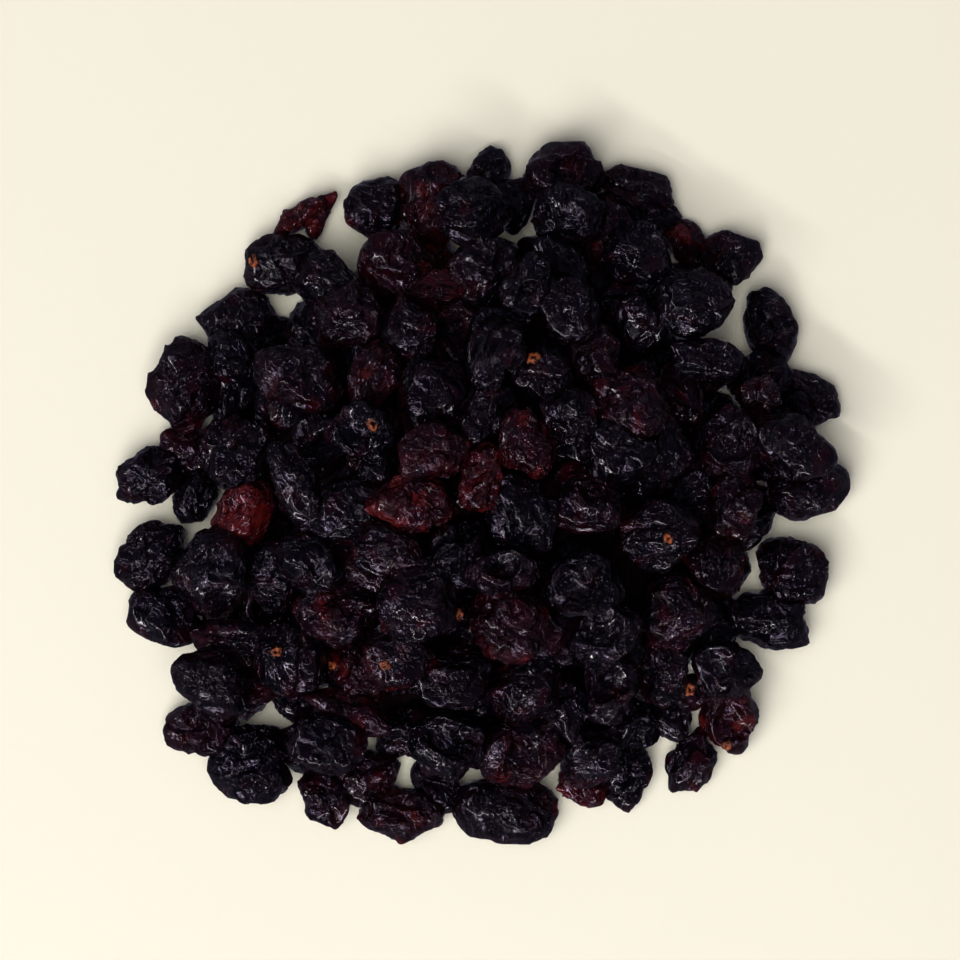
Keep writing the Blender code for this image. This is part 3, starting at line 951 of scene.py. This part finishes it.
class NodeBench:
    """Adds nodes to one node tree."""

    def __init__(self, tree: bpy.types.NodeTree) -> None:
        """Clears the tree to work on it."""
        self.tree = tree
        tree.nodes.clear()

    @staticmethod
    def _socket(sockets: bpy.types.bpy_prop_collection, key: str | int) -> bpy.types.NodeSocket:
        """The socket with this number, identifier or name."""
        if isinstance(key, int):
            return sockets[key]
        named = [one for one in sockets if one.identifier == key]
        return named[0] if named else sockets[key]

    @staticmethod
    def _set_stops(ramp: bpy.types.ColorRamp, stops: Stops) -> None:
        """Gives a colour ramp these positions and colours."""
        while len(ramp.elements) < len(stops):
            ramp.elements.new(1.0)
        for element, (position, colour) in zip(ramp.elements, stops):
            element.position, element.color = position, colour

    def add(
        self,
        kind: str,
        settings: dict[str, object] | None = None,
        inputs: Inputs | None = None,
        output: str | int = 0,
    ) -> Term:
        """Adds a node.

        Args:
            kind: the node's type.
            settings: its properties, set before anything else; stops holds a ramp's stops.
            inputs: values or terms for its sockets.
            output: the socket that the result stands for.

        Returns:
            The chosen output as a term.
        """
        node = self.tree.nodes.new(kind)
        for name, value in (settings or {}).items():
            if name == "stops":
                self._set_stops(node.color_ramp, value)
            else:
                setattr(node, name, value)
        for key, value in (inputs or {}).items():
            socket = self._socket(node.inputs, key)
            if isinstance(value, Term):
                self.tree.links.new(value.socket, socket)
            else:
                socket.default_value = value
        return Term(self, self._socket(node.outputs, output) if len(node.outputs) else None)

    def coordinates(self, output: str = "Object") -> Term:
        """The place of what is shaded, in the piece's own axes unless another output is named."""
        return self.add("ShaderNodeTexCoord", output=output)

    def attribute(self, name: str, output: str = "Fac") -> Term:
        """What a piece holds under this name at each of its points."""
        return self.add("ShaderNodeAttribute", {"attribute_name": name}, output=output)

    def vectors(self, operation: str, first: Term, second: object) -> Term:
        """Vector Math on two vectors, or on a vector and the number that scales it."""
        inputs = {0: first, "Scale" if operation == "SCALE" else 1: second}
        return self.add("ShaderNodeVectorMath", {"operation": operation}, inputs)

    def noise(self, place: Term, grain: float, **sockets: float) -> Term:
        """A noise pattern whose lumps are about as large as the grain, in metres."""
        inputs = {"Vector": self.vectors("SCALE", place, 1 / grain), "Scale": 1.0}
        inputs.update({name.title(): value for name, value in sockets.items()})
        return self.add("ShaderNodeTexNoise", {"noise_dimensions": "3D"}, inputs)

    def warped(self, place: Term, grain: float, reach: float) -> Term:
        """The place moved about by a smooth noise of this grain, up to half the reach."""
        shift = self.noise(place, grain, detail=1.0).of("Color")
        off = self.vectors("SUBTRACT", shift, (0.5, 0.5, 0.5))
        return self.vectors("ADD", place, self.vectors("SCALE", off, reach))

    def furrows(self, place: Term, grain: float, bend: float, sharpness: float) -> Term:
        """Meandering ridges about a grain apart, between 0 and 1."""
        settings = {"wave_type": "BANDS", "bands_direction": "DIAGONAL"}
        vector = self.vectors("SCALE", place, 1 / grain)
        inputs = {"Vector": vector, "Scale": 0.314, "Distortion": bend}
        inputs.update({"Detail": 2.0, "Detail Scale": 1.6, "Detail Roughness": 0.5})
        return self.add("ShaderNodeTexWave", settings, inputs, "Fac") ** sharpness

    def crests(self, place: Term, grain: float) -> Term:
        """Sharp branching crests at several sizes."""
        settings = {"noise_dimensions": "3D", "noise_type": "RIDGED_MULTIFRACTAL"}
        inputs = {"Vector": self.vectors("SCALE", place, 1 / grain), "Scale": 1.0, "Detail": 3.0}
        inputs.update({"Roughness": 0.55, "Offset": 1.0, "Gain": 2.0})
        return self.add("ShaderNodeTexNoise", {**settings, "normalize": False}, inputs)

    def stepped(self, value: Term, low: float, high: float) -> Term:
        """0 below low, 1 above high and smooth between."""
        inputs = {"Value": value, "From Min": low, "From Max": high}
        return self.add("ShaderNodeMapRange", {"interpolation_type": "SMOOTHSTEP"}, inputs)

    def mixed(self, share: Term, first: Colour, second: Colour) -> Term:
        """The first colour where the share is 0, and the second where it is 1."""
        inputs = {"Factor_Float": share, "A_Color": first, "B_Color": second}
        return self.add("ShaderNodeMix", {"data_type": "RGBA"}, inputs, "Result_Color")

    def ramp(self, share: Term, stops: Stops) -> Term:
        """A colour from the ramp for each share."""
        return self.add("ShaderNodeValToRGB", {"stops": stops}, {"Fac": share})

    def bump(self, height: Term, distance: float) -> Term:
        """A normal that the height, in terms of the distance, pushes about."""
        inputs = {"Height": height, "Distance": distance, "Strength": 1.0}
        return self.add("ShaderNodeBump", {}, inputs)


class Finish:
    """A finish of one kind of piece, as a Principled shader."""

    name: str

    def inputs(self, bench: NodeBench) -> Inputs:
        """What goes into the shader's sockets, from nodes on the bench."""
        raise NotImplementedError

    def material(self) -> bpy.types.Material:
        """The finish as a material."""
        material = bpy.data.materials.new(self.name)
        material.use_nodes = True
        bench = NodeBench(material.node_tree)
        shader = bench.add("ShaderNodeBsdfPrincipled", {}, self.inputs(bench))
        bench.add("ShaderNodeOutputMaterial", {}, {"Surface": shader})
        return material


@dataclass(frozen=True)
class SkinFinish(Finish):
    """The berries' near-black skin, which shows red where it is thin, with a thin oily gloss."""

    name: str = "dried_skin"
    black: Colour = (0.0012, 0.0010, 0.0026, 1)
    plum: Colour = (0.0033, 0.0012, 0.0034, 1)
    wine: Colour = (0.0094, 0.0015, 0.0031, 1)
    crimson: Colour = (0.022, 0.0016, 0.0032, 1)
    rust: Colour = (0.064, 0.0064, 0.0058, 1)
    sheen: Colour = (0.85, 0.75, 1.0, 1)
    tones: tuple[float, ...] = (0.0, 0.25, 0.5, 0.8, 1.0)
    mottling: float = 0.8
    clouding: float = 0.55
    # Strength of the painted shade down the relief's furrows.
    painted_furrow_shade: float = 0.16
    roughness: float = 0.155
    ridge_gloss: float = 0.75
    line_gloss: float = 0.6
    mottle_grain: float = 2.2 * MM
    cloud_grain: float = 4.5 * MM
    warp_grain: float = 2.4 * MM
    warp_reach: float = 3.0 * MM
    furrow_grain: float = 0.85 * MM
    furrow_bend: float = 9.0
    furrow_sharpness: float = 1.5
    crest_grain: float = 2.2 * MM
    pore_grain: float = 0.45 * MM
    crinkle_grain: float = 3.2 * MM
    crinkle_edge: Range = (0.44, 0.56)
    relief: float = 0.70 * MM

    def inputs(self, bench: NodeBench) -> Inputs:
        """Tone and gloss from what the berries hold and from noise, over a fine relief, with
        painted shade down its furrows.
        """
        place = bench.attribute("grain_place", "Vector")
        mottle = bench.noise(place, self.mottle_grain, detail=3.0, roughness=0.6)
        cloud = bench.noise(place, self.cloud_grain, detail=1.0)
        bent = bench.warped(place, self.warp_grain, self.warp_reach)
        furrows = bench.furrows(bent, self.furrow_grain, self.furrow_bend, self.furrow_sharpness)
        relief = 0.5 * bench.crests(place, self.crest_grain) + 0.7 * furrows
        relief = relief + 0.1 * bench.noise(place, self.pore_grain, detail=1.0)
        tone = bench.attribute("redness") + self.mottling * (mottle - 0.5)
        # Painted shade: the tone darkens down the relief's furrows and lightens on its crests.
        tone = tone + self.clouding * (cloud - 0.5) + self.painted_furrow_shade * (relief - 0.6)
        shades = (self.black, self.plum, self.wine, self.crimson, self.rust)
        grain = bench.noise(place, self.crinkle_grain, detail=1.0)
        crinkled = bench.stepped(grain, *self.crinkle_edge)
        height = relief * (0.6 + 0.4 * bench.attribute("crinkle")) * (0.2 + crinkled)
        glossy_lines = self.line_gloss * furrows**3 * (0.2 + 0.8 * crinkled)
        return {
            "Base Color": bench.ramp(tone, list(zip(self.tones, shades))),
            "Roughness": self.roughness - 0.05 * cloud,
            "IOR": 1.42,
            "Specular IOR Level": 0.45,
            "Specular Tint": self.sheen,
            "Coat Weight": self.ridge_gloss * bench.attribute("ridge") + glossy_lines,
            "Coat Roughness": 0.10,
            "Normal": bench.bump(height, self.relief),
        }


@dataclass(frozen=True)
class ScarFinish(Finish):
    """The dry, corky orange-brown scar where the stalk or flower was."""

    name: str = "stalk_scar"
    pale: Colour = (0.30, 0.080, 0.024, 1)
    deep: Colour = (0.026, 0.006, 0.004, 1)
    cork_grain: float = 0.6 * MM
    pit_grain: float = 0.3 * MM
    pit_depth: float = 0.12 * MM

    def inputs(self, bench: NodeBench) -> Inputs:
        """Flecks of cork over fine pits."""
        place = bench.coordinates()
        cork = bench.noise(place, self.cork_grain, detail=4.0, roughness=0.7)
        pits = bench.noise(place, self.pit_grain, detail=3.0)
        return {
            "Base Color": bench.ramp(cork, [(0.42, self.deep), (0.60, self.pale)]),
            "Roughness": 0.75 - 0.2 * cork,
            "Normal": bench.bump(pits, self.pit_depth),
        }


@dataclass(frozen=True)
class CoreFinish(Finish):
    """The dark pressed fruit inside the heap, seen only down the gaps."""

    name: str = "heap_inside"
    dark: Colour = (0.0018, 0.0008, 0.0012, 1)
    less_dark: Colour = (0.006, 0.0016, 0.0028, 1)
    grain: float = 3 * MM
    depth: float = 0.8 * MM

    def inputs(self, bench: NodeBench) -> Inputs:
        """Dull dark pulp."""
        pulp = bench.noise(bench.coordinates(), self.grain, detail=4.0, roughness=0.6)
        return {
            "Base Color": bench.ramp(pulp, [(0.3, self.dark), (0.7, self.less_dark)]),
            "Roughness": 0.55 + 0.2 * pulp,
            "Specular IOR Level": 0.08,
            "Normal": bench.bump(pulp, self.depth),
        }


@dataclass(frozen=True)
class TableFinish(Finish):
    """The matt cream table."""

    name: str = "cream_table"
    cream: Colour = (0.742, 0.728, 0.610, 1)
    shade: Colour = (0.732, 0.718, 0.600, 1)
    grain: float = 60 * MM

    def inputs(self, bench: NodeBench) -> Inputs:
        """Cream with faint wide clouds."""
        cloud = bench.noise(bench.coordinates(), self.grain, detail=2.0)
        return {
            "Base Color": bench.mixed(cloud, self.cream, self.shade),
            "Roughness": 0.9,
            "Specular IOR Level": 0.1,
        }


def linked(name: str, data: bpy.types.ID) -> bpy.types.Object:
    """A new object of this data, in the scene."""
    thing = bpy.data.objects.new(name, data)
    bpy.context.scene.collection.objects.link(thing)
    return thing


def dressed_piece(mesh: bpy.types.Mesh, material: bpy.types.Material) -> bpy.types.Object:
    """A piece of the heap in the scene, with its finish and its place in the frame."""
    mesh.materials.append(material)
    piece = linked(mesh.name, mesh)
    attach(piece, BODY)
    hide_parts(NODE)
    return piece


def triangle_mesh(name: str, points: Points, faces: np.ndarray) -> bpy.types.Mesh:
    """A smooth mesh of triangles."""
    mesh = bpy.data.meshes.new(name)
    mesh.vertices.add(len(points))
    mesh.vertices.foreach_set("co", np.asarray(points, np.float32).ravel())
    mesh.loops.add(faces.size)
    mesh.loops.foreach_set("vertex_index", np.asarray(faces, np.int32).ravel())
    mesh.polygons.add(len(faces))
    mesh.polygons.foreach_set("loop_start", np.arange(0, faces.size, 3, dtype=np.int32))
    mesh.polygons.foreach_set("use_smooth", np.ones(len(faces), bool))
    mesh.update(calc_edges=True)
    mesh.validate()
    return mesh


@dataclass
class BerryPile:
    """All the berries of one form, as one piece. Each disc is a middle and a size on the map."""

    form: Form
    sculpted: list[Sculpted] = field(default_factory=list)
    upper_disc: tuple[float, float, float] = (0.36, 0.63, 0.33)
    lower_disc: tuple[float, float, float] = (0.84, 0.16, 0.13)

    def joined(self, name: str) -> Values:
        """What the berries hold under this name, one berry after the other."""
        return np.concatenate([getattr(one, name) for one in self.sculpted])

    def mesh(self) -> bpy.types.Mesh:
        """The joined berries, with what the finish reads from them and their baking map."""
        starts = np.cumsum([0] + [len(one.points) for one in self.sculpted])
        faces = np.concatenate([one.faces + at for one, at in zip(self.sculpted, starts)])
        mesh = triangle_mesh(f"{self.form.value}_cranberries", self.joined("points"), faces)
        for name in ("redness", "ridge", "crinkle"):
            kept = mesh.attributes.new(name, "FLOAT", "POINT")
            kept.data.foreach_set("value", self.joined(name).astype(np.float32))
        kept = mesh.attributes.new("grain_place", "FLOAT_VECTOR", "POINT")
        kept.data.foreach_set("vector", self.joined("grain_place").astype(np.float32).ravel())
        flat = np.concatenate([self.flattened(n) for n in range(len(self.sculpted))])
        flat_map = mesh.uv_layers.new(name="OFBake")
        flat_map.data.foreach_set("uv", flat.astype(np.float32).ravel())
        return mesh

    def flattened(self, number: int) -> Points:
        """Each face corner's place on the baking map: the upper and lower side as two discs."""
        side = math.ceil(math.sqrt(len(self.sculpted)))
        one = self.sculpted[number]
        across, along, rise = np.moveaxis(one.upper[one.faces], 2, 0)
        upper_face = rise.mean(axis=1, keepdims=True) >= 0
        rise = np.where(upper_face, rise, -rise)
        out = np.sqrt(np.maximum(1 - rise, 0)) / np.maximum(np.hypot(across, along), 1e-9)
        disc = np.where(upper_face, self.upper_disc, self.lower_disc)
        u = disc[:, :1] + disc[:, 2:] * out * across
        v = disc[:, 1:2] + disc[:, 2:] * out * along
        cell = np.array((number % side, number // side))
        return (np.stack((u, v), axis=2).reshape(-1, 2) + cell) / side


@dataclass
class StalkScars:
    """Small corky rings where the stalks and flowers were, set on the berries' skin.

    A spot is a place in the frame's millimetres and a radius. A ring is a share of the radius
    and its height as another.
    """

    spots: tuple[tuple[float, float, float], ...] = (
        (8.4, 22.8, 1.1),
        (-3.4, -19.7, 1.2),
        (-17.8, 10.8, 1.1),
        (-38.4, 38.2, 1.0),
        (-25.4, -28.3, 0.9),
        (-16.3, -28.3, 0.9),
        (35.0, -32.6, 1.0),
        (40.8, -42.2, 0.9),
        (-33.8, -25.5, 0.9),
        (30.4, -7.8, 0.9),
    )
    rings: tuple[Pair, ...] = (
        (0.0, -0.10),
        (0.30, -0.05),
        (0.55, 0.34),
        (0.80, 0.38),
        (1.0, 0.10),
        (1.12, -0.35),
    )
    sides: int = 18
    seed: int = 5
    skin_reach: float = 0.6 * MM
    uprightness: float = 0.7
    least_out: float = 0.92
    raggedness: float = 0.11
    lobes: int = 3
    lobe_height: float = 0.3

    def mesh(self, skins: list[Sculpted]) -> bpy.types.Mesh:
        """The rings, each standing on the uppermost skin at its spot."""
        chance = np.random.default_rng(self.seed)
        everything = np.concatenate([one.points for one in skins])
        middles = [np.broadcast_to(one.points.mean(axis=0), one.points.shape) for one in skins]
        middles = np.concatenate(middles)
        points, faces = [], []
        for x, y, radius in self.spots:
            away = level_distance(everything, x, y)
            top = int(np.argmax(np.where(away < self.skin_reach, everything[:, 2], -1)))
            outward = Vector(everything[top] - middles[top]).normalized()
            outward = (outward + Vector((0, 0, self.uprightness))).normalized()
            frame_turn = outward.to_track_quat("Z", "X").to_matrix()
            rough = chance.normal(size=self.sides)
            ragged = self.least_out + self.raggedness * (rough + np.roll(rough, 1))
            faces.append(self.ring_faces() + len(points))
            for share, rise in self.rings:
                for side in range(self.sides if share else 1):
                    turn = math.tau * side / self.sides
                    out = share * radius * ragged[side] * MM
                    lobe = 1 + self.lobe_height * math.sin(self.lobes * turn + x)
                    lift = rise * radius * MM * lobe
                    spot = Vector((out * math.cos(turn), out * math.sin(turn), lift))
                    points.append(np.array(frame_turn @ spot) + everything[top])
        return triangle_mesh("stalk_scars", np.array(points), np.concatenate(faces))

    def ring_faces(self) -> np.ndarray:
        """The triangles of one scar, from its middle outwards and closed underneath."""
        faces = []
        following = [(side + 1) % self.sides for side in range(self.sides)]
        for side in range(self.sides):
            faces.append((0, 1 + side, 1 + following[side]))
        for ring in range(len(self.rings) - 2):
            inner, outer = 1 + ring * self.sides, 1 + (ring + 1) * self.sides
            for side in range(self.sides):
                after = following[side]
                faces.append((inner + side, outer + side, outer + after))
                faces.append((inner + side, outer + after, inner + after))
        last = 1 + (len(self.rings) - 2) * self.sides
        for side in range(1, self.sides - 1):
            faces.append((last, last + side + 1, last + side))
        return np.array(faces)


@dataclass(frozen=True)
class HeapCore:
    """The inside of the heap, a low uneven dome under the berries."""

    radius: float = 40 * MM
    height: float = 12.5 * MM
    unevenness: float = 1.2 * MM
    grain: float = 14 * MM
    roundness: int = 5
    seed: int = 11

    def mesh(self) -> bpy.types.Mesh:
        """The dome, flat where it stands on the table."""
        ways, faces = ball(self.roundness)
        points = ways * (self.radius, self.radius, self.height)
        lumps = Waves(self.grain).at(points, np.random.default_rng(self.seed))
        points = points + ways * (self.unevenness * lumps)[:, None]
        points[:, 2] = np.maximum(points[:, 2], 0)
        return triangle_mesh("heap_core", points, faces)


@dataclass(frozen=True)
class Forms:
    """Which form and redness the berries get that lie where they were dropped.

    A tinted berry is the highest one near a place in the frame's millimetres.
    """

    tinted: tuple[tuple[float, float, float], ...] = (
        (-10.9, 7.2, 0.62),
        (-7.0, 33.5, 0.66),
        (18.4, 27.2, 0.10),
        (30.4, 11.8, 0.10),
        (-22.9, -1.3, 0.02),
        (-5.3, -2.8, 0.15),
        (26.4, -16.5, 0.20),
        (4.6, -21.1, 0.50),
        (16.0, -23.6, 0.10),
        (30.4, -28.6, 0.22),
        (-13.4, 40.0, 0.45),
        (-19.8, -30.2, 0.40),
    )
    tint_reach: float = 6 * MM
    cycle: tuple[Form, ...] = (
        CRINKLED, FOLDED, PLUMP, CUPPED, POINTED, FOLDED,
        TORN, PLUMP, CUPPED, CRINKLED, POINTED, TORN,
    )
    rednesses: tuple[float, ...] = (0.0, 0.04, 0.08, 0.12, 0.18, 0.24, 0.32)
    seed: int = 23

    def choose(self, heap: list[Berry]) -> None:
        """Gives every berry that has none a form and a redness."""
        draw = random.Random(self.seed)
        dropped = [berry for berry in heap if berry.form is None]
        for berry, form in zip(dropped, itertools.cycle(self.cycle)):
            berry.form, berry.redness = form, draw.choice(self.rednesses)
        for x, y, redness in self.tinted:
            away = [math.hypot(one.x - x * MM, one.y - y * MM) for one in dropped]
            near = [one for one, far in zip(dropped, away) if far < self.tint_reach]
            if near:
                max(near, key=lambda one: one.z).redness = redness


@dataclass(frozen=True)
class Lamp:
    """A flat soft light that faces the heap: where it stands, its size and its power in watts.

    A lamp that isn't diffuse gives only shine, and one that isn't glossy gives none.
    """

    azimuth: float
    elevation: float
    distance: float
    size: Pair
    power: float
    colour: tuple[float, float, float] = (1.0, 0.94, 0.98)
    glossy: bool = True
    diffuse: bool = True

    def add(self, name: str) -> None:
        """Adds the light to the scene."""
        light = bpy.data.lights.new(name, "AREA")
        light.shape = "RECTANGLE"
        light.size, light.size_y = self.size
        light.energy, light.color = self.power, self.colour
        turn, rise = math.radians(self.azimuth), math.radians(self.elevation)
        level = math.cos(rise)
        way = Vector((level * math.cos(turn), level * math.sin(turn), math.sin(rise)))
        lamp = linked(name, light)
        lamp.location = way * self.distance
        lamp.rotation_euler = way.to_track_quat("Z", "Y").to_euler()
        lamp.visible_camera = False
        lamp.visible_glossy = self.glossy
        lamp.visible_diffuse = self.diffuse


LAMPS = {
    "ceiling": Lamp(236, 72, 1.7, (1.6, 1.6), 25.2, (1.0, 0.980, 0.945), glossy=False),
    "key": Lamp(236, 42, 1.6, (1.5, 1.2), 3.3, (0.985, 0.985, 1.0)),
    "near_window": Lamp(236, 40, 1.6, (1.4, 0.06), 11.0),
    "low_window": Lamp(285, 34, 1.6, (1.0, 0.06), 6.0, diffuse=False),
    "left_window": Lamp(185, 38, 1.6, (1.0, 0.06), 6.0, diffuse=False),
    "far_window": Lamp(60, 42, 1.6, (0.8, 0.06), 1.3, diffuse=False),
}


@dataclass(frozen=True)
class Studio:
    """The table, the soft lights and the camera straight above."""

    table_width: float = 6.0
    camera_height: float = 1.2
    camera_place: Pair = (-0.358 * MM, 2.182 * MM)
    camera_clip: Range = (0.05, 20)
    view_width: float = 160 * MM
    sensor: float = 36.0
    sky_pale: tuple[float, Colour] = (0.15, (0.155, 0.145, 0.185, 1))
    sky_dark: tuple[float, Colour] = (0.75, (0.085, 0.075, 0.110, 1))

    def add_table(self) -> None:
        """The pale table under the heap, which the berries don't reflect."""
        sheet = bmesh.new()
        bmesh.ops.create_grid(sheet, x_segments=2, y_segments=2, size=self.table_width / 2)
        mesh = bpy.data.meshes.new("table")
        sheet.to_mesh(mesh)
        sheet.free()
        mesh.materials.append(TableFinish().material())
        table = linked("table", mesh)
        table.visible_glossy = False

    def add_sky(self) -> None:
        """The room's light: dim from above and paler towards the sides."""
        world = bpy.data.worlds.new("room")
        world.use_nodes = True
        bpy.context.scene.world = world
        bench = NodeBench(world.node_tree)
        way = {"Vector": bench.coordinates("Generated")}
        rise = bench.add("ShaderNodeSeparateXYZ", {}, way, "Z")
        colour = bench.ramp(rise, [self.sky_pale, self.sky_dark])
        light = bench.add("ShaderNodeBackground", {}, {"Color": colour, "Strength": 1.0})
        bench.add("ShaderNodeOutputWorld", {}, {"Surface": light})

    def add_camera(self) -> None:
        """The camera, straight above the heap."""
        camera = bpy.data.cameras.new("camera")
        camera.sensor_width = self.sensor
        camera.lens = self.sensor * self.camera_height / self.view_width
        camera.clip_start, camera.clip_end = self.camera_clip
        stand = linked("camera", camera)
        stand.location = (*self.camera_place, self.camera_height)
        bpy.context.scene.camera = stand

    def build(self) -> None:
        """Adds everything round the heap."""
        self.add_table()
        for name, lamp in LAMPS.items():
            lamp.add(name)
        self.add_sky()
        self.add_camera()
        bpy.context.scene.view_settings.view_transform = "Standard"
        bpy.context.scene.view_settings.look = "Medium High Contrast"


def main() -> None:
    """Builds the heap and the studio round it."""
    logging.basicConfig(level=logging.INFO, format="%(message)s")
    log = logging.getLogger("cranberry_heap")
    heap = Laying().lay()
    Forms().choose(heap)
    sculptor = Sculptor()
    piles = {form: BerryPile(form) for form in Form}
    for berry in heap:
        piles[berry.form].sculpted.append(sculptor.sculpt(berry))
    skins = [one for pile in piles.values() for one in pile.sculpted]
    skin = SkinFinish().material()
    pieces = [dressed_piece(pile.mesh(), skin) for pile in piles.values()]
    pieces.append(dressed_piece(StalkScars().mesh(skins), ScarFinish().material()))
    pieces.append(dressed_piece(HeapCore().mesh(), CoreFinish().material()))
    for piece in pieces:
        log.info("%s: %d triangles", piece.name, len(piece.data.polygons))
    Studio().build()


if __name__ == "__main__":
    main()
